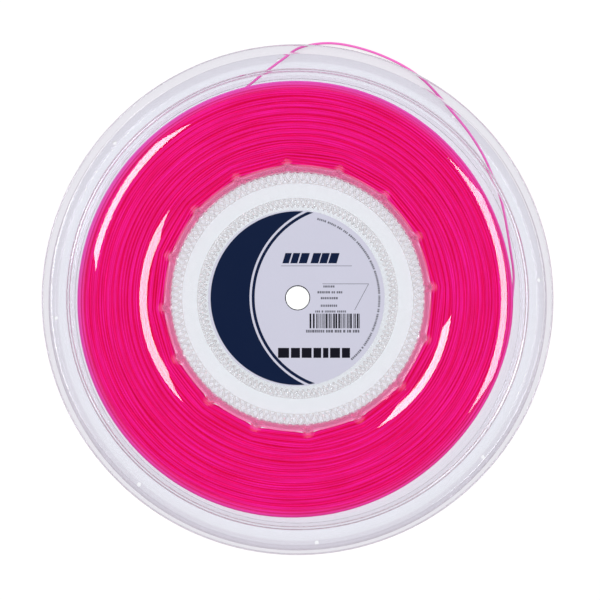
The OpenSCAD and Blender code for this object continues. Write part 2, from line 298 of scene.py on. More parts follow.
def halfSection():
    # Round corners joined by straight lines and by the bulge's own curve, from the barrel's foot outwards
    # over the inner face, round the rim, and back over the outer face to the web and the bore
    d = reelDims
    wall, fillet = d["wall"], d["fillet"]
    foot = d["barrelRadius"] - d["barrelDraft"]
    land = d["landIn"]
    root = d["barrelRadius"] + fillet
    rim = d["rimRadius"] - wall / 2
    # The riser between bulge and land: an upright wall of the sheet's own thickness
    at, draft, corner = d["riserAt"], d["riserDraft"], d["riserCorner"]
    low = float(bulgeHeight(at, wall))
    lowFar = float(bulgeHeight(at + wall))
    high = land - d["beadRise"]
    bead = np.array([(-0.45, 1.0), (-0.15, 0.85), (0.15, 0.2), (0.45, 0.0)]) * [1, -d["beadRise"]]
    bead = bead + [d["beadAt"], 0]
    mouthR = d["mouthRadius"]
    mouth = d["barrelRadius"] - wall + mouthR
    dish = foot - wall
    tiny = d["tinyCorner"]
    seat = d["boreRadius"] + d["boreSeat"]
    # Each run of points, and which side of a lobe it follows where one stands
    parts = [
        ("outside", arcPoints((foot - tiny, tiny), tiny, -90, 0, 2)),
        ("outside", arcPoints((root, bulgeHeight(root) - fillet), fillet, 180, 104, 6)),
        ("outside", bulgeLine(root + 0.5, at + wall - corner - 0.2, 0)),
        ("", arcPoints((at + wall - corner, lowFar + corner), corner, -95, 0, 4)),
        ("", arcPoints((at + wall + draft + corner, high - corner), corner, 180, 90, 4)),
        ("", bead + [0, land]),
        ("", arcPoints((rim, land + wall / 2), wall / 2, -90, 90, 12)),
        ("", bead[::-1] + [0, land + wall]),
        ("", arcPoints((at + draft + corner, high + wall - corner), corner, 90, 180, 4)),
        ("", arcPoints((at - corner, low + corner), corner, 0, -95, 4)),
        ("inside", bulgeLine(mouth + 1, at - corner - 0.2, wall)[::-1]),
        ("inside", arcPoints((mouth, bulgeHeight(mouth, wall) - mouthR), mouthR, 106, 180, 8)),
        ("inside", arcPoints((dish - fillet, d["webTop"] + fillet), fillet, 0, -90, 6)),
        ("", arcPoints((d["boreRadius"] + tiny, d["webTop"] - tiny), tiny, 90, 180, 2)),
        ("", arcPoints((d["boreRadius"] + tiny, tiny), tiny, 180, 270, 2)),
        ("", arcPoints((seat - tiny, tiny), tiny, -90, 0, 2)),
        ("", arcPoints((seat + tiny, d["webLift"] - tiny), tiny, 180, 90, 2)),
        ("", arcPoints((dish - tiny, d["webLift"] - tiny), tiny, 90, 0, 2)),
        ("outside", arcPoints((dish + tiny, tiny), tiny, 180, 270, 2)),
    ]
    follows = np.concatenate([np.full(len(p), side, dtype="U8") for side, p in parts])
    line = np.concatenate([p for side, p in parts])
    # A point close to each end of a long straight run keeps the shading of the flats flat
    gap = np.roll(line, -1, 0) - line
    span = np.linalg.norm(gap, axis=1)
    longRun = span > 1.5
    near = line[longRun] + gap[longRun] * (0.1 / span[longRun])[:, None]
    far = line[longRun] + gap[longRun] * (1 - 0.1 / span[longRun])[:, None]
    at = np.flatnonzero(longRun) + 1
    line = np.insert(line, np.repeat(at, 2), np.stack([near, far], 1).reshape(-1, 2), axis=0)
    follows = np.insert(follows, np.repeat(at, 2), np.repeat(follows[at - 1], 2))
    return line, follows


def lobeAngles():
    # Even steps, drawn together round each lobe
    lobes = reelDims["lobes"]
    half = 180.0 / lobes
    t = np.linspace(-1, 1, reelDims["lobeSteps"], endpoint=False)
    one = half * (0.34 * t + 0.66 * np.sign(t) * np.abs(t) ** 2.2)
    return (360.0 / lobes * np.arange(lobes)[:, None] + one[None]).ravel() + lobePhase


def lobeBump(angle, barrel, radius):
    # How far the skin of a lobe stands out of a barrel: the circle's far side as seen from the axis, joined
    # to the barrel by a smooth maximum
    d = reelDims
    pitch = 360.0 / d["lobes"]
    off = np.radians((angle - lobePhase + pitch / 2) % pitch - pitch / 2)
    centre = d["barrelRadius"] + d["lobeOut"] - d["lobeRadius"]
    inside = np.maximum(radius ** 2 - (centre * np.sin(off)) ** 2, 0)
    skin = np.where(inside > 0, centre * np.cos(off) + np.sqrt(inside), 0)
    soft = d["lobeBlend"]
    h = np.clip(0.5 + 0.5 * (skin - barrel) / soft, 0, 1)
    return np.maximum(barrel * (1 - h) + skin * h + soft * h * (1 - h), barrel) - barrel


def markBarrel(piece, line, columns):
    # The barrel's wall and its two roundings take the second material
    d = reelDims
    r = line[:, 0]
    onWall = (r > d["barrelRadius"] - d["wall"] - d["tintFrom"]) & (r < d["barrelRadius"] + d["tintTo"])
    rows = np.where(onWall & np.roll(onWall, -1), 1, 0)
    piece.data.polygons.foreach_set("material_index", np.repeat(rows, columns).astype(np.int32))


def buildHalf(name, node, front):
    # Profile turned round the axis, with the barrel's wall pushed outwards where a lobe stands
    d = reelDims
    line, follows = halfSection()
    angles = lobeAngles()
    r, h = line[:, 0], line[:, 1]
    outBump = lobeBump(angles, d["barrelRadius"], d["lobeRadius"])[None]
    inBump = lobeBump(angles, d["barrelRadius"] - d["wall"], d["lobeRadius"] - d["wall"])[None]
    fade = 1 - smoothStep((r - d["barrelRadius"] - d["fillet"]) / d["lobeFade"])
    outWeight = np.where(follows == "outside", fade, 0)
    # On the inside the bump dies out at the web, so the web's own points near the bore keep their place
    onMouth = (follows == "inside") & (r > d["webEdge"])
    inWeight = np.where(onMouth, fade, 0) * smoothStep((h - d["webTop"]) / d["fillet"])
    rr = r[:, None] + outWeight[:, None] * outBump + inWeight[:, None] * inBump
    a = np.radians(angles)[None]
    side = 1.0 if front else -1.0
    z = np.broadcast_to(weldZ + side * h[:, None], rr.shape)
    points = np.stack([rr * np.cos(a), side * rr * np.sin(a), z], -1)
    if not front:  # turned over about the X axis through the weld, and then round until lobe meets lobe
        turn = np.radians(2 * lobePhase)
        x, y = points[..., 0].copy(), points[..., 1].copy()
        points[..., 0] = x * np.cos(turn) - y * np.sin(turn)
        points[..., 1] = x * np.sin(turn) + y * np.cos(turn)
    faces = gridFaces(len(line), len(angles), closeRows=True, closeColumns=True, flip=front)
    piece = addMesh(name, points, faces)
    piece.data.materials.append(None)
    piece.data.materials.append(None)
    markBarrel(piece, line, len(angles))
    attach(piece, "root")
    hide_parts(node)
    return piece


def cutHoles(piece):
    # Round bars through the rear land, cut away
    d = reelDims
    a = np.radians(lobePhase + 360.0 / d["holes"] * np.arange(d["holes"]))
    b = np.linspace(0, 2 * np.pi, 28, endpoint=False)
    centre = d["holeAt"] * np.stack([np.cos(a), np.sin(a)], 1)
    ring = centre[:, None] + d["holeRadius"] * np.stack([np.cos(b), np.sin(b)], 1)[None]
    low = np.concatenate([ring, np.full((*ring.shape[:2], 1), -1.0)], -1)
    high = np.concatenate([ring, np.full((*ring.shape[:2], 1), 3.2)], -1)
    points = np.concatenate([low, high], 1)
    n = len(b)
    j = np.arange(n)
    k = (j + 1) % n
    base = 2 * n * np.arange(d["holes"])
    walls = base[:, None, None] + np.stack([j, k, k + n, j + n], 1)
    lids = (base[:, None] + j[::-1]).tolist() + (base[:, None] + j + n).tolist()
    bars = addMesh("holeBars", points, walls.reshape(-1, 4).tolist() + lids, smooth=False)
    cut = piece.modifiers.new("holes", "BOOLEAN")
    cut.operation = "DIFFERENCE"
    cut.solver = "EXACT"
    cut.object = bars
    depsgraph = bpy.context.evaluated_depsgraph_get()
    result = bpy.data.meshes.new_from_object(piece.evaluated_get(depsgraph))
    piece.modifiers.remove(cut)
    old = piece.data
    piece.data = result
    result.name = piece.name
    bpy.data.meshes.remove(old)
    bpy.data.objects.remove(bars)
    piece.data.set_sharp_from_angle(angle=math.radians(50))


frontHalf = buildHalf("frontHalf", "front_half", True)
rearHalf = buildHalf("rearHalf", "rear_half", False)
cutHoles(rearHalf)
print("clear halves turned,", len(frontHalf.data.polygons), "and", len(rearHalf.data.polygons), "faces")

# Rings of leaning half-round bars under each web; in mm
ridgeDims = {
    "bands": ((63.3, 69.2, 116), (49.8, 54.3, 110)),  # inner radius, outer radius, number
    "rims": (63.1, 69.5, 54.6),  # radii of the thin rounds that bound the bands
    "rimWidth": 0.3,
    "rimRise": 0.22,
    "width": 1.3,
    "rise": 0.5,
    "sink": 0.03,  # how far the bars and the rounds are sunk into the web
    # The bar's swelling along its length
    "places": (0.0, 0.06, 0.94, 1.0),
    "swell": (0.55, 1.0, 1.0, 0.55),
}


def buildRidges(name, front):
    # Each bar is a half circle of points carried along a line that leans by one pitch; the ends are closed
    d = ridgeDims
    a = np.radians(np.linspace(0, 180, 7))
    bars, faces, start = [], [], 0
    for inner, outer, count in d["bands"]:
        first = np.radians(360.0 / count * np.arange(count) + lobePhase)
        last = first + np.radians(360.0 / count)
        low = inner * np.stack([np.cos(first), np.sin(first)], 1)
        high = outer * np.stack([np.cos(last), np.sin(last)], 1)
        along = (high - low) / np.linalg.norm(high - low, axis=1, keepdims=True)
        across = np.stack([along[:, 1], -along[:, 0]], 1)
        t = np.array(d["places"])
        swell = np.array(d["swell"])
        line = low[:, None] + (high - low)[:, None] * t[None, :, None]
        swing = d["width"] / 2 * swell[None, :, None, None] * np.cos(a)[None, None, :, None]
        plan = line[:, :, None] + swing * across[:, None, None]
        drop = d["rise"] * swell[:, None] * np.sin(a)[None] - d["sink"]
        z = np.broadcast_to(reelDims["webLift"] - drop[None], plan.shape[:3])
        pts = np.concatenate([plan, z[..., None]], -1)
        per = len(t) * len(a)
        one = gridFaces(len(t), len(a), closeColumns=True)
        ends = [np.arange(len(a))[::-1], (len(t) - 1) * len(a) + np.arange(len(a))]
        base = start + per * np.arange(count)
        faces += (base[:, None, None] + one[None]).reshape(-1, 4).tolist()
        for end in ends:
            faces += (base[:, None] + end[None]).tolist()
        bars.append(pts.reshape(-1, 3))
        start += per * count
    # The rounds: the same half circle of points carried round the axis
    b = np.radians(np.linspace(0, 360, 240, endpoint=False))
    for radius in d["rims"]:
        r = radius - d["rimWidth"] / 2 * np.cos(a)
        z = np.broadcast_to(reelDims["webLift"] - d["rimRise"] * np.sin(a) + d["sink"], (len(b), len(a)))
        pts = np.stack([r * np.cos(b)[:, None], r * np.sin(b)[:, None], z], -1)
        rounds = gridFaces(len(b), len(a), closeRows=True, closeColumns=True, flip=True)
        faces += (start + rounds).tolist()
        bars.append(pts.reshape(-1, 3))
        start += pts.size // 3
    mirror = 1.0 if front else -1.0
    points = np.concatenate(bars) * [1, mirror, mirror] + [0, 0, weldZ]
    piece = addMesh(name, points, [face[::-1] for face in faces])
    piece.data.set_sharp_from_angle(angle=math.radians(55))
    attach(piece, "root")
    return piece


frontRidges = buildRidges("frontRidges", True)
rearRidges = buildRidges("rearRidges", False)
print("weld ridges set")


# The winding; depths are below the layer that touches the flange, and steps are points to a turn
packDims = {
    "seed": 11,
    "face": {"turns": 28, "steps": 224, "depth": 0.16, "wander": 0.75, "startAngle": lobePhase},
    "faceSway": 0.16,
    "under": {
        "turns": 33, "steps": 120, "depth": 1.15, "wander": 0.4, "startAngle": 60, "edgeCut": 0.4,
        "backwards": True,
    },
    "rear": {"turns": 34, "steps": 150, "depth": 0.1, "wander": 0.5, "startAngle": 30},
    "sideTurns": 6,
    "bendTurns": 1.6,  # the string goes over the edge in these
    "fallAfter": 1.2,  # and starts down the outside after these
    "handTurns": 0.12,  # over the last of them it runs to where the loose strand leaves
    # The helix within the outside, drawn in at its two ends
    "within": {
        "turns": 11, "steps": 150, "startAngle": 200, "inset": 1.0, "sway": 0.25, "drawIn": 1.2,
        "drawTurns": 0.8,
    },
    "edgeBand": 5.5,  # width of the band by the outside where the floor's light through the string is painted in
    # That band's painted light: its strength, how far it varies round the reel towards the side the light
    # falls from, and the degrees of its crest
    "edgeLit": (0.7, 0.3, 120.0),
    "coreIn": 2.2,  # the heart lies this far in from the outside
    "coreDeep": 2.6,  # and this far below the flange
}


def packEdge(angle):
    # Centre of the outermost string: a circle that is wound fuller towards one side, the mean radius plus
    # a cosine for each wave and a bell-shaped swelling
    d = stringDims
    edge = d["edgeMean"] - d["diameter"] / 2
    for waves, height, crestAt in d["edgeWaves"]:
        edge = edge + height * np.cos(np.radians(waves * (angle - crestAt)))
    height, centre, width = d["edgeSwell"]
    off = (np.asarray(angle) - centre + 180) % 360 - 180
    return edge + height * np.exp(-(off / width) ** 2)


def packInner(angle):
    # The string runs straight from lobe to lobe: the radius of a polygon with its corners on the lobes
    pitch = 360.0 / reelDims["lobes"]
    off = np.radians((angle - lobePhase + pitch) % pitch - pitch / 2)
    return stringDims["innerRadius"] * math.cos(math.radians(pitch / 2)) / np.cos(off)


def slowNoise(rng, turns, count, slowest=0.35, fastest=3.2, parts=9):
    # A sum of sine waves, by default with periods between about a third of a turn and three turns
    rate = rng.uniform(slowest, fastest, parts)
    phase = rng.uniform(0, 2 * np.pi, parts)
    size = rng.normal(0, 1, parts) / np.sqrt(parts) / (0.4 + rate * 0.5)
    t = np.linspace(0, turns, count)
    return (size[:, None] * np.sin(2 * np.pi * rate[:, None] * t[None] + phase[:, None])).sum(0)


def windFace(rng, turns, steps, depth, wander, startAngle, edgeCut=0.0, backwards=False):
    # A spiral over the flange's inner face: the share of the way from the barrel to the edge grows evenly
    # with the turns, plus a slow wander
    count = turns * steps + 1
    t = np.linspace(0, turns, count)
    angle = startAngle + (-360 if backwards else 360) * t
    inner, outer = packInner(angle), packEdge(angle) - stringDims["cornerRadius"] - edgeCut
    share = t / turns
    lobed = inner + (stringDims["innerRadius"] - inner) * smoothStep(share * 3.2)
    drift = wander * slowNoise(rng, turns, count) * smoothStep(share * 18) * smoothStep((1 - share) * 18)
    r = lobed + (outer - lobed) * share + drift
    z = bulgeHeight(r, -(stringDims["clear"] + stringDims["diameter"] / 2) - depth)
    return angle, r, z


def toPoints(angle, r, z, rear=False):
    a = np.radians(angle)
    return np.stack([r * np.cos(a), r * np.sin(a), weldZ + (-z if rear else z)], 1)


def windFront():
    # The face's spiral, then a quarter bend over the edge, then turns down the outside to where the
    # loose strand leaves
    d, s = packDims, stringDims
    rng = np.random.default_rng(d["seed"])
    turns, steps = d["face"]["turns"], d["face"]["steps"]
    sway = d["faceSway"] * slowNoise(rng, turns, turns * steps + 1, 0.5, 4)
    angle, r, z = windFace(rng, **d["face"])
    z = z - np.abs(sway)
    sideTurns = d["sideTurns"]
    t = np.linspace(0, sideTurns, sideTurns * steps + 1)[1:]
    sideAngle = angle[-1] + (360 * sideTurns - lobePhase) * t / sideTurns
    bend = np.clip(t / d["bendTurns"], 0, 1) * np.pi / 2
    corner = s["cornerRadius"]
    topZ = bulgeHeight(packEdge(sideAngle) - corner, -(s["clear"] + s["diameter"] / 2)) - corner
    endZ = strandLine[0][2] - weldZ
    down = (t - d["fallAfter"]) / (sideTurns - d["fallAfter"])
    fall = smoothStep(down) * 0.35 + 0.65 * np.clip(down, 0, 1)
    sideR = packEdge(sideAngle) - corner + corner * np.sin(bend)
    toHand = smoothStep((t - sideTurns + d["handTurns"]) / d["handTurns"])
    sideR = sideR + (s["woundRadius"] - sideR) * toHand
    sideZ = (topZ + corner * np.cos(bend)) * (1 - fall) + endZ * fall
    joined = [np.concatenate(pair) for pair in ((angle, sideAngle), (r, sideR), (z, sideZ))]
    return toPoints(*joined)


def addString(name, path, sides):
    angle = np.degrees(np.arctan2(path[:, 1], path[:, 0]))
    inwards = packEdge(angle) - np.hypot(path[:, 0], path[:, 1])
    # Painted light by the pack's outside: the floor's light through the outer turns, stronger towards one
    # side
    mean, sway, crestAt = packDims["edgeLit"]
    lit = mean + sway * np.cos(np.radians(angle - crestAt))
    edge = np.clip(1 - inwards / packDims["edgeBand"], 0, 1) ** 1.5 * lit
    piece = tubeAlong(name, path, stringDims["diameter"], sides, edge=edge)
    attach(piece, "root")
    return piece


def windUnder():
    rng = np.random.default_rng(packDims["seed"] + 1)
    return toPoints(*windFace(rng, **packDims["under"]))


def windSide():
    # A helix down the outside, just within the outer turns
    d = packDims["within"]
    rng = np.random.default_rng(packDims["seed"] + 2)
    turns = d["turns"]
    count = turns * d["steps"] + 1
    t = np.linspace(0, turns, count)
    angle = d["startAngle"] + 360 * t
    r = packEdge(angle) - d["inset"] + d["sway"] * slowNoise(rng, turns, count)
    r = r - d["drawIn"] * smoothStep(1 - t / d["drawTurns"])
    r = r - d["drawIn"] * smoothStep((t - turns + d["drawTurns"]) / d["drawTurns"])
    z = bulgeHeight(r, -1.7) * (1 - 2 * t / turns)
    return toPoints(angle, r, z)


def windRear():
    rng = np.random.default_rng(packDims["seed"] + 3)
    return toPoints(*windFace(rng, **packDims["rear"]), rear=True)


frontString = addString("frontString", windFront(), 8)
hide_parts("string_turns")
underString = addString("underString", windUnder(), 6)
sideString = addString("sideString", windSide(), 6)
rearString = addString("rearString", windRear(), 6)
print("string wound")


def buildCore():
    # The turns further in, seen only through gaps: the section between the flanges, drawn in by two
    # layers and turned round the axis
    angles = np.linspace(0, 360, 256, endpoint=False)
    share = np.linspace(0, 1, 40)
    inner = packInner(angles) + 0.6
    outer = packEdge(angles) - packDims["coreIn"]
    top = inner[None] + (outer - inner)[None] * share[:, None]
    height = bulgeHeight(top, -packDims["coreDeep"])
    a = np.radians(angles)
    r = np.concatenate([top, top[::-1]])
    z = np.concatenate([height, -height[::-1]])
    points = np.stack([r * np.cos(a)[None], r * np.sin(a)[None], weldZ + z], -1)
    uv = np.stack([np.broadcast_to(np.linspace(0, 12, len(angles)), r.shape), r / 10], -1)
    faces = gridFaces(len(r), len(angles), closeRows=True, closeColumns=True)
    # With no crest mark of its own, it takes the string's side colour, the painted shade, all over
    piece = addMesh("stringHeart", points, faces, uv=uv)
    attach(piece, "root")
    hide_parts("string_core")
    return piece


stringHeart = buildCore()
print("heart of the winding filled")


def newMaterial(name):
    material = bpy.data.materials.new(name)
    material.use_nodes = True
    tree = material.node_tree
    shader = tree.nodes["Principled BSDF"]
    return material, tree, shader


def give(piece, material):
    piece.data.materials.clear()
    piece.data.materials.append(material)


def setInputs(node, **values):
    for key, value in values.items():
        node.inputs[key].default_value = value


def newGroup(name, inputs, outputs):
    group = bpy.data.node_groups.new(name, "ShaderNodeTree")
    for label, kind, value in inputs:
        socket = group.interface.new_socket(label, in_out="INPUT", socket_type=kind)
        if value is not None:
            socket.default_value = value
    for label, kind in outputs:
        group.interface.new_socket(label, in_out="OUTPUT", socket_type=kind)
    return group, group.nodes.new("NodeGroupInput"), group.nodes.new("NodeGroupOutput")


def placeGroup(tree, group, **values):
    node = tree.nodes.new("ShaderNodeGroup")
    node.node_tree = group
    setInputs(node, **values)
    return node


def feed(tree, socket, value):
    # The value is another node's socket or a plain value
    if hasattr(value, "is_linked"):
        tree.links.new(value, socket)
    else:
        socket.default_value = value


def mixColour(tree, factor, first, second):
    mix = tree.nodes.new("ShaderNodeMix")
    mix.data_type = "RGBA"
    for socket, value in ((0, factor), (6, first), (7, second)):
        feed(tree, mix.inputs[socket], value)
    return mix.outputs[2]


def mixFloat(tree, factor, first, second):
    mix = tree.nodes.new("ShaderNodeMix")
    mix.data_type = "FLOAT"
    for socket, value in ((0, factor), (2, first), (3, second)):
        feed(tree, mix.inputs[socket], value)
    return mix.outputs[0]


def mathNode(tree, operation, *values):
    node = tree.nodes.new("ShaderNodeMath")
    node.operation = operation
    for socket, value in zip(node.inputs, values):
        feed(tree, socket, value)
    return node.outputs[0]


def placeNoise(tree, vector, scale, detail):
    noise = tree.nodes.new("ShaderNodeTexNoise")
    setInputs(noise, Scale=scale, Detail=detail)
    tree.links.new(vector, noise.inputs["Vector"])
    return noise.outputs["Fac"]


def stretched(tree, vector, scale):
    node = tree.nodes.new("ShaderNodeMapping")
    node.inputs["Scale"].default_value = scale
    tree.links.new(vector, node.inputs[0])
    return node.outputs[0]


def addBump(tree, shader, height, strength, distance):
    bump = tree.nodes.new("ShaderNodeBump")
    setInputs(bump, Strength=strength, Distance=distance)
    tree.links.new(height, bump.inputs["Height"])
    tree.links.new(bump.outputs[0], shader.inputs["Normal"])


def buildMouldGrain():
    # Moulded polystyrene: a slow ripple in its surface, and a faint bloom that dulls the polish in patches
    group, given, out = newGroup("mouldGrain", (
        ("Ripple", "NodeSocketFloat", 1.0), ("Bloom", "NodeSocketFloat", 0.01)),
        (("Height", "NodeSocketFloat"), ("Roughness", "NodeSocketFloat")))
    place = group.nodes.new("ShaderNodeTexCoord")
    slow = placeNoise(group, place.outputs["Object"], 38.0, 1.0)
    quick = placeNoise(group, place.outputs["Object"], 260.0, 3.0)
    both = mathNode(group, "ADD", slow, mathNode(group, "MULTIPLY", quick, 0.004))
    group.links.new(mathNode(group, "MULTIPLY", both, given.outputs["Ripple"]), out.inputs["Height"])
    bloom = mathNode(group, "MULTIPLY", mathNode(group, "POWER", quick, 3.0), given.outputs["Bloom"])
    group.links.new(bloom, out.inputs["Roughness"])
    return group


mouldGrain = buildMouldGrain()


def radiusTone(tree, stops, reach):
    # Colours by the distance from the reel's axis, each stop in mm
    place = tree.nodes.new("ShaderNodeTexCoord")
    flat = tree.nodes.new("ShaderNodeVectorMath")
    flat.operation = "MULTIPLY"
    flat.inputs[1].default_value = (1000 / reach, 1000 / reach, 0)
    distance = tree.nodes.new("ShaderNodeVectorMath")
    distance.operation = "LENGTH"
    ramp = tree.nodes.new("ShaderNodeValToRGB")
    while len(ramp.color_ramp.elements) < len(stops):
        ramp.color_ramp.elements.new(0.5)
    for stop, (at, tone) in zip(ramp.color_ramp.elements, stops):
        stop.position = at / reach
        stop.color = (*tone, 1)
    tree.links.new(place.outputs["Object"], flat.inputs[0])
    tree.links.new(flat.outputs["Vector"], distance.inputs[0])
    tree.links.new(distance.outputs["Value"], ramp.inputs[0])
    return ramp.outputs[0]


# Colours, and how clear and how dense each plastic is; a tone by distance has its stops in mm
plasticLooks = {
    "lampTint": (0.97, 0.97, 0.975),  # what each surface lets through of a lamp's light
    "reach": 140.0,
    # Painted light and shade by distance: the riser and the rim's rounded edge are thicker to look through,
    # so their tone is deeper, and it is deepened further as painted shade, as is the land beyond the bead;
    # the zone over the hub and the land inside the bead are painted lighter
    "clearTonesAndShade": (
        (0, (0.915, 0.928, 0.953)), (60.0, (0.915, 0.928, 0.953)), (72.0, (0.905, 0.902, 0.947)),
        (121.9, (0.905, 0.902, 0.947)), (122.6, (0.845, 0.83, 0.88)), (124.2, (0.855, 0.84, 0.89)),
        (125.0, (0.935, 0.945, 0.982)), (131.8, (0.925, 0.93, 0.965)), (132.6, (0.85, 0.835, 0.885)),
        (136.4, (0.835, 0.82, 0.87)), (137.2, (0.68, 0.64, 0.69))),
    "clear": {"ior": 1.52, "clearness": 1.0},
    # Painted light: the barrel's clear wall is tinted pink for the string that shows bent through it
    "barrel": {"ior": 1.18, "clearness": 0.8, "tint": (0.97, 0.44, 0.68)},
    "ridge": {"ior": 1.45, "clearness": 0.62, "tint": (0.99, 0.98, 0.99)},
}


def clearPlastic(name, ior, clearness, tint=None):
    # Glass to look at and through; lamps and soft light pass straight on. Without a tint it has the tones
    # by distance, which hold painted light and shade
    d = plasticLooks
    material, tree, shader = newMaterial(name)
    setInputs(shader, **{"Roughness": 0.0, "IOR": ior, "Transmission Weight": clearness})
    # The tones by distance hold painted light and shade
    colour = (*tint, 1) if tint else radiusTone(tree, d["clearTonesAndShade"], d["reach"])
    feed(tree, shader.inputs["Base Color"], colour)
    grain = placeGroup(tree, mouldGrain, Ripple=0.5, Bloom=0.02)
    addBump(tree, shader, grain.outputs["Height"], 0.5, 0.00002)
    tree.links.new(grain.outputs["Roughness"], shader.inputs["Roughness"])
    path = tree.nodes.new("ShaderNodeLightPath")
    either = mathNode(tree, "MAXIMUM", path.outputs["Is Shadow Ray"], path.outputs["Is Diffuse Ray"])
    clear = tree.nodes.new("ShaderNodeBsdfTransparent")
    clear.inputs["Color"].default_value = (*d["lampTint"], 1)
    mix = tree.nodes.new("ShaderNodeMixShader")
    for socket, value in zip(mix.inputs, (either, shader.outputs[0], clear.outputs[0])):
        tree.links.new(value, socket)
    tree.links.new(mix.outputs[0], tree.nodes["Material Output"].inputs["Surface"])
    return material


clearMaterial = clearPlastic("clearPlastic", **plasticLooks["clear"])
barrelMaterial = clearPlastic("barrelPlastic", **plasticLooks["barrel"])
ridgeMaterial = clearPlastic("ridgePlastic", **plasticLooks["ridge"])
for piece in (frontHalf, rearHalf):
    piece.data.materials[0] = clearMaterial
    # The barrel's pink tint is painted light, for the string seen through its wall
    piece.data.materials[1] = barrelMaterial
for piece in (frontRidges, rearRidges):
    give(piece, ridgeMaterial)


def buildStringTone():
    # Monofilament: painted shade at its sides and a painted highlight on its crest, changing slowly from
    # one length to the next, and shifted towards a cooler tone by the pack's outside, where that is painted
    # light
    group, given, out = newGroup("stringTone", (
        ("Crest Color", "NodeSocketColor", (1, 0, 0, 1)), ("Side Color", "NodeSocketColor", (1, 0, 0, 1)),
        ("Edge Color", "NodeSocketColor", (1, 0, 0, 1)), ("Variation", "NodeSocketFloat", 0.5)),
        (("Color", "NodeSocketColor"), ("Height", "NodeSocketFloat")))
    uv = group.nodes.new("ShaderNodeUVMap")
    uv.uv_map = "UVMap"
    noise = placeNoise(group, stretched(group, uv.outputs[0], (1.6, 0.25, 1)), 1.0, 2.0)
    spread = group.nodes.new("ShaderNodeMapRange")
    setInputs(spread, **{"From Min": 0.34, "From Max": 0.66})
    group.links.new(noise, spread.inputs["Value"])
    crest = group.nodes.new("ShaderNodeAttribute")
    crest.attribute_name = "crest"
    # The crest mark brings a painted highlight on top and painted shade at the sides
    paintedHighlightShare = mathNode(group, "POWER", crest.outputs["Fac"], 1.6)
    own = mathNode(group, "MULTIPLY", spread.outputs[0], given.outputs["Variation"])
    rest = mathNode(group, "SUBTRACT", 1.0, given.outputs["Variation"])
    share = mathNode(group, "MULTIPLY", paintedHighlightShare, mathNode(group, "ADD", own, rest))
    body = mixColour(group, share, given.outputs["Side Color"], given.outputs["Crest Color"])
    # Painted light: the pack's outside takes the edge colour
    edge = group.nodes.new("ShaderNodeAttribute")
    edge.attribute_name = "edgeLightShare"
    tone = mixColour(group, edge.outputs["Fac"], body, given.outputs["Edge Color"])
    group.links.new(tone, out.inputs["Color"])
    group.links.new(placeNoise(group, uv.outputs[0], 40.0, 2.0), out.inputs["Height"])
    return group


stringTone = buildStringTone()


# Colours of a string's crest and its sides, a painted highlight and painted shade, of the pack's outside,
# painted light, and how much its length varies
# The glow is painted light, standing for light that passes through the string
stringLooks = {
    "woundPink": {
        "crest": (1.0, 0.011, 0.36), "side": (0.76, 0.0, 0.075), "edge": (0.82, 0.12, 0.57),
        "variation": 0.7, "rough": 0.4, "specular": 0.07, "glow": 0.24,
    },
    "loosePink": {
        "crest": (0.84, 0.17, 0.55), "side": (0.70, 0.10, 0.45), "edge": (0.78, 0.14, 0.50),
        "variation": 0.3, "rough": 0.3, "specular": 0.3, "glow": 0.28,
    },
}


def stringMaterial(name):
    # Pink monofilament; the glow is painted light, standing for light that passes through it
    d = stringLooks[name]
    material, tree, shader = newMaterial(name)
    setInputs(shader, **{
        "Roughness": d["rough"], "Specular IOR Level": d["specular"], "Emission Strength": d["glow"]})
    colours = {label + " Color": (*d[label.lower()], 1) for label in ("Crest", "Side", "Edge")}
    tone = placeGroup(tree, stringTone, Variation=d["variation"], **colours)
    tree.links.new(tone.outputs["Color"], shader.inputs["Base Color"])
    tree.links.new(tone.outputs["Color"], shader.inputs["Emission Color"])
    addBump(tree, shader, tone.outputs["Height"], 0.15, 0.0001)
    return material


woundPink = stringMaterial("woundPink")
loosePink = stringMaterial("loosePink")
for piece in (frontString, underString, sideString, rearString, stringHeart):
    give(piece, woundPink)
give(looseStrand, loosePink)


def buildPaperGrain():
    # Faint fibres and flecks of a printed paper: the given colour mixed with a little grey, and a height
    group, given, out = newGroup("paperGrain", (
        ("Color", "NodeSocketColor", (1, 1, 1, 1)), ("Fleck", "NodeSocketFloat", 0.05)),
        (("Color", "NodeSocketColor"), ("Height", "NodeSocketFloat")))
    place = group.nodes.new("ShaderNodeTexCoord")
    fibre = placeNoise(group, stretched(group, place.outputs["Object"], (1400, 500, 1000)), 1.0, 3.0)
    cloud = placeNoise(group, place.outputs["Object"], 60.0, 2.0)
    both = mathNode(group, "ADD", fibre, cloud)
    amount = mathNode(group, "MULTIPLY", both, given.outputs["Fleck"])
    tone = mixColour(group, amount, given.outputs["Color"], (0.36, 0.36, 0.42, 1))
    group.links.new(tone, out.inputs["Color"])
    group.links.new(fibre, out.inputs["Height"])
    return group


paperGrain = buildPaperGrain()


def printedPaper(name, colour, fleck, rough, specular):
    material, tree, shader = newMaterial(name)
    setInputs(shader, **{"Roughness": rough, "Specular IOR Level": specular})
    grain = placeGroup(tree, paperGrain, Color=(*colour, 1), Fleck=fleck)
    tree.links.new(grain.outputs["Color"], shader.inputs["Base Color"])
    addBump(tree, shader, grain.outputs["Height"], 0.2, 0.00005)
    return material


paper = printedPaper("labelPaper", (0.665, 0.665, 0.80), 0.06, 0.45, 0.25)
navyInk = printedPaper("navyInk", (0.002, 0.011, 0.05), 0.004, 0.4, 0.06)
darkInk = printedPaper("darkInk", (0.006, 0.006, 0.014), 0.004, 0.4, 0.06)
greyInk = printedPaper("greyInk", (0.13, 0.13, 0.17), 0.05, 0.45, 0.3)
give(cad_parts["front_label"], paper)

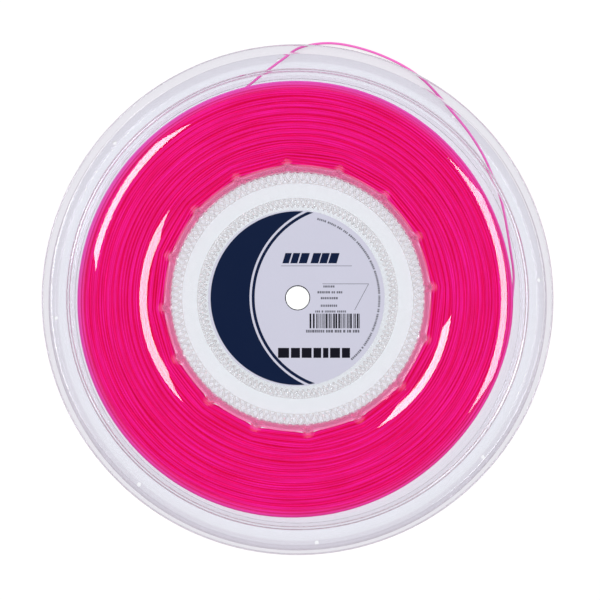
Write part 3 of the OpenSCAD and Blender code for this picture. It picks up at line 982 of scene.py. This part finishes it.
# The label's plain printed pattern, in mm from the bore
printDims = {
    "seed": 5,
    "top": 13.3,  # height of the paper's face
    "ink": 0.03,
    "sweepRadius": 47.3,  # dark sweep along the left edge
    "sweepCut": (26.0, 3.0, 49.5),  # centre and radius of the circle that bounds it
    "sweepLine": (1.6, 2.8),  # pale line within it, between these distances from the bound
    "sweepTurn": -6.0,  # degrees
    "title": {
        "x": (-8.3, -4.0, 0.6, 7.0, 11.8, 16.6), "y": 18.8, "width": (3.5, 3.8, 4.4, 4.2, 4.1, 4.6),
        "height": 5.6, "slant": 0.3,
    },
    "foot": {
        "x": (-10.6, -3.6, 2.2, 8.6, 13.8, 17.6, 24.0), "y": -32.6,
        "width": (6.0, 4.9, 5.4, 4.2, 2.9, 5.4, 4.4), "height": 5.4,
    },
    # Thin lines, each from one point to another
    "rules": (((-9.0, 17.4), (29.5, 17.4)), ((13.5, 7.6), (38.6, 7.6)), ((38.6, 7.6), (31.0, -6.6))),
    "ruleHalf": 0.13,
    "bars": {"count": 27, "x": 6.5, "y": -16.6, "length": 27.2, "height": 8.0},
    # Rows of dashes: left end, foot, length and height
    "rows": (
        (14.0, 5.6, 7.0, 1.1), (10.8, 2.4, 13.6, 1.2), (12.6, -0.8, 9.2, 1.2), (12.6, -4.9, 9.4, 1.2),
        (9.6, -8.0, 17.6, 1.1), (4.6, -18.9, 30.0, 1.5)),
    "ringRadius": 44.4,
    "ringSpan": (76.0, -50.0),
    "ringHeight": 1.1,
    "gap": 0.3,  # between the dashes of a row
    "ringGap": 0.34,
}


def prismMesh(name, inner, outer):
    # Strips between two lines of points, each with a lower and an upper copy: rows of four points carried
    # along the strip, and closed at its ends
    top, ink = printDims["top"], printDims["ink"]
    low, high = top - 0.01, top + ink
    strips, n = inner.shape[0], inner.shape[1]
    flat = np.stack([inner, outer, outer, inner], 2)
    z = np.broadcast_to(np.array([low, low, high, high]), flat.shape[:3])
    points = np.concatenate([flat, z[..., None]], -1)
    one = gridFaces(n, 4, closeColumns=True)
    base = 4 * n * np.arange(strips)[:, None, None]
    walls = (base + one[None]).reshape(-1, 4)
    ends = np.array([[3, 2, 1, 0], [4 * n - 4, 4 * n - 3, 4 * n - 2, 4 * n - 1]])
    faces = np.concatenate([walls, (base + ends[None]).reshape(-1, 4)])
    piece = addMesh(name, points, faces[:, ::-1], smooth=False)
    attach(piece, "root")
    return piece


def slantedBars(x, y, width, height, slant=0.0):
    # Lower and upper edges of bars that lean to the right by slant times their height
    x, y, width, height = (np.atleast_1d(np.asarray(v, float)) for v in (x, y, width, height))
    x, y, width, height = np.broadcast_arrays(x, y, width, height)
    low = np.stack([np.stack([x, y], -1), np.stack([x + width, y], -1)], 1)
    high = low + np.stack([slant * height, height], -1)[:, None]
    return low, high


def greekedRow(rng, x, y, length, height, gap, slant=0.0):
    # Dashes that stand for small print: random widths with a wider gap now and then
    count = int(length / (height * 0.9)) + 4
    width = rng.uniform(0.45, 0.85, count) * height
    space = np.where(rng.random(count) < 0.16, gap * 3, gap)
    start = np.concatenate([[0], np.cumsum(width + space)[:-1]])
    keep = start + width < length
    return slantedBars(x + start[keep], y, width[keep], height, slant)


def sweepBands():
    # For each direction from the bound's centre: from the bound out to the label's edge, as the pale line
    # leaves it in two
    d = printDims
    cx, cy, bound = d["sweepCut"]
    centre = np.array([cx, cy])
    a = np.linspace(0, 2 * np.pi, 721)
    ray = np.stack([np.cos(a), np.sin(a)], 1)
    across = ray @ centre
    inside = across ** 2 - cx ** 2 - cy ** 2 + d["sweepRadius"] ** 2
    reach = -across + np.sqrt(np.maximum(inside, 0))
    turn = math.radians(d["sweepTurn"])
    spin = np.array([[math.cos(turn), math.sin(turn)], [-math.sin(turn), math.cos(turn)]])

    def band(fromRadius, toRadius):
        on = (toRadius - fromRadius > 0.05) & (inside > 0)
        near, far = (np.broadcast_to(v, a.shape)[on][:, None] for v in (fromRadius, toRadius))
        return tuple(((centre + ray[on] * r) @ spin)[None] for r in (far, near))

    lineFrom, lineTo = (bound + v for v in d["sweepLine"])
    return band(bound, np.minimum(lineFrom, reach)), band(lineTo, reach)


def ruleStrips():
    ends = np.array(printDims["rules"])
    start, end = ends[:, 0], ends[:, 1]
    along = (end - start) / np.linalg.norm(end - start, axis=1, keepdims=True)
    side = np.stack([-along[:, 1], along[:, 0]], 1) * printDims["ruleHalf"]
    return np.stack([start - side, end - side], 1), np.stack([start + side, end + side], 1)


def barPattern(rng):
    # Bars and gaps of random widths, stretched to a set length
    d = printDims["bars"]
    wide = rng.choice([0.28, 0.55, 0.85], d["count"], p=[0.5, 0.3, 0.2])
    space = rng.choice([0.28, 0.55, 0.8], d["count"], p=[0.5, 0.35, 0.15])
    at = np.concatenate([[0], np.cumsum(wide + space)[:-1]])
    stretch = d["length"] / (at[-1] + wide[-1])
    return slantedBars(d["x"] + at * stretch, d["y"], wide * stretch, d["height"])


def ringRow(rng):
    # A row of small print bent round the label's edge
    d = printDims
    start, end = (math.radians(v) for v in d["ringSpan"])
    rows = greekedRow(rng, 0.0, 0.0, (start - end) * d["ringRadius"], d["ringHeight"], d["ringGap"])
    bent = []
    for edge, lift in zip(rows, (-d["ringHeight"] / 2, d["ringHeight"] / 2)):
        b = start - edge[..., 0] / d["ringRadius"]
        bent.append((d["ringRadius"] + lift) * np.stack([np.cos(b), np.sin(b)], -1))
    return bent


def printLabel():
    d = printDims
    rng = np.random.default_rng(d["seed"])
    line, sweep = sweepBands()
    bars = barPattern(rng)
    rows = [greekedRow(rng, x, y, length, height, d["gap"]) for x, y, length, height in d["rows"]]
    ring = ringRow(rng)
    print("label print drawn,", len(d["rows"]), "rows")
    for name, strips, ink in (
            ("labelSweepLine", line, navyInk),
            ("labelSweep", sweep, navyInk),
            ("labelTitle", slantedBars(**d["title"]), navyInk),
            ("labelFoot", slantedBars(**d["foot"]), darkInk),
            ("labelRules", ruleStrips(), greyInk),
            ("labelBars", bars, darkInk),
            ("labelRows", [np.concatenate(edges) for edges in zip(*rows)], greyInk),
            ("labelRing", ring, greyInk)):
        give(prismMesh(name, *strips), ink)


printLabel()
print("materials mixed and label printed")


stageSet = {
    "floorColour": (0.4, 0.4, 0.4),
    "floorHalf": 3.0,  # m
    "floorDrop": 0.01,  # mm
    "glowColour": (0.975, 1.0, 1.0),
    # The floor's own brightness at distances in mm from the axis: painted light, brighter under the reel
    # and brightest under the bore, where the reel shades the floor
    "glow": ((0, 1.0), (8, 1.0), (10, 0.88), (120, 0.85), (136, 0.72), (144, 0.67)),
    "glowReach": 200.0,
    "softLight": 0.66,
    "worldSide": 0.85,
    "worldTop": 0.01,  # overhead, as the plastic's gloss mirrors it
    "worldThrough": 0.04,  # overhead, as it shows through the plastic
    "worldFade": (0.62, 0.73),  # where the side gives way to overhead, as the height of a unit direction
}


def buildFloor():
    # It shows its own glow to the camera and to what it is mirrored in or seen through; the glow is painted
    # light, brighter where the reel stands over the floor
    d = stageSet
    half = d["floorHalf"] / mm
    corners = [(-half, -half), (half, -half), (half, half), (-half, half)]
    points = [(*corner, -d["floorDrop"]) for corner in corners]
    floor = addMesh("floor", points, [[0, 1, 2, 3]], smooth=False)
    material, tree, shader = newMaterial("paleFloor")
    setInputs(shader, **{
        "Base Color": (*d["floorColour"], 1), "Roughness": 1.0, "Specular IOR Level": 0.0,
        "Emission Color": (*d["glowColour"], 1)})
    path = tree.nodes.new("ShaderNodeLightPath")
    seen = mathNode(tree, "MAXIMUM", path.outputs["Is Camera Ray"], path.outputs["Is Glossy Ray"])
    seen = mathNode(tree, "MAXIMUM", seen, path.outputs["Is Transmission Ray"])
    # Painted light: the glow rises towards the axis, under the reel
    fade = radiusTone(tree, [(at, (value,) * 3) for at, value in d["glow"]], d["glowReach"])
    tree.links.new(mathNode(tree, "MULTIPLY", seen, fade), shader.inputs["Emission Strength"])
    give(floor, material)


def buildWorld():
    # An even soft light; what mirrors show of it is white all round and dark overhead
    d = stageSet
    world = bpy.data.worlds.new("studio")
    bpy.context.scene.world = world
    world.use_nodes = True
    tree = world.node_tree
    back = tree.nodes["Background"]
    path = tree.nodes.new("ShaderNodeLightPath")
    place = tree.nodes.new("ShaderNodeTexCoord")
    split = tree.nodes.new("ShaderNodeSeparateXYZ")
    tree.links.new(place.outputs["Generated"], split.inputs[0])
    fade = tree.nodes.new("ShaderNodeMapRange")
    fade.interpolation_type = "SMOOTHSTEP"
    low, high = d["worldFade"]
    setInputs(fade, **{"From Min": low, "From Max": high, "To Min": d["worldSide"]})
    tree.links.new(split.outputs["Z"], fade.inputs["Value"])
    over = mixFloat(tree, path.outputs["Is Transmission Ray"], d["worldTop"], d["worldThrough"])
    tree.links.new(over, fade.inputs["To Max"])
    shown = mathNode(tree, "MAXIMUM", path.outputs["Is Glossy Ray"], path.outputs["Is Transmission Ray"])
    seen = mixFloat(tree, shown, d["softLight"], fade.outputs[0])
    tree.links.new(mixFloat(tree, path.outputs["Is Camera Ray"], seen, 1.0), back.inputs["Strength"])
    back.inputs["Color"].default_value = (1, 1, 1, 1)


# Angles in degrees, with the tilt from overhead; the distance in m; the two sizes in radians as the reel
# sees them
softboxes = {
    "softboxLeft": {
        "azimuth": 141.0, "tilt": 24.2, "roll": 15.0, "far": 1.64, "across": 0.167, "along": 0.295,
        "bright": 9.2,
    },
    "softboxRight": {
        "azimuth": 14.0, "tilt": 20.6, "roll": -12.0, "far": 9.0, "across": 0.18, "along": 0.42,
        "bright": 7.5,
    },
}


def buildLamps():
    for name, d in softboxes.items():
        a, t, far = math.radians(d["azimuth"]), math.radians(d["tilt"]), d["far"]
        data = bpy.data.lights.new(name, "AREA")
        data.shape = "RECTANGLE"
        data.size = d["along"] * far
        data.size_y = d["across"] * far
        data.energy = d["bright"] * math.pi * data.size * data.size_y
        lamp = addObject(name, data)
        lamp.location = far * Vector((math.sin(t) * math.cos(a), math.sin(t) * math.sin(a), math.cos(t)))
        aim = (-lamp.location).to_track_quat("-Z", "Y").to_matrix()
        lamp.rotation_euler = (aim @ Matrix.Rotation(math.radians(d["roll"]), 3, "Z")).to_euler()


buildFloor()
buildWorld()
buildLamps()
bpy.context.scene.view_settings.view_transform = "Standard"
print("floor, world and lamps set")
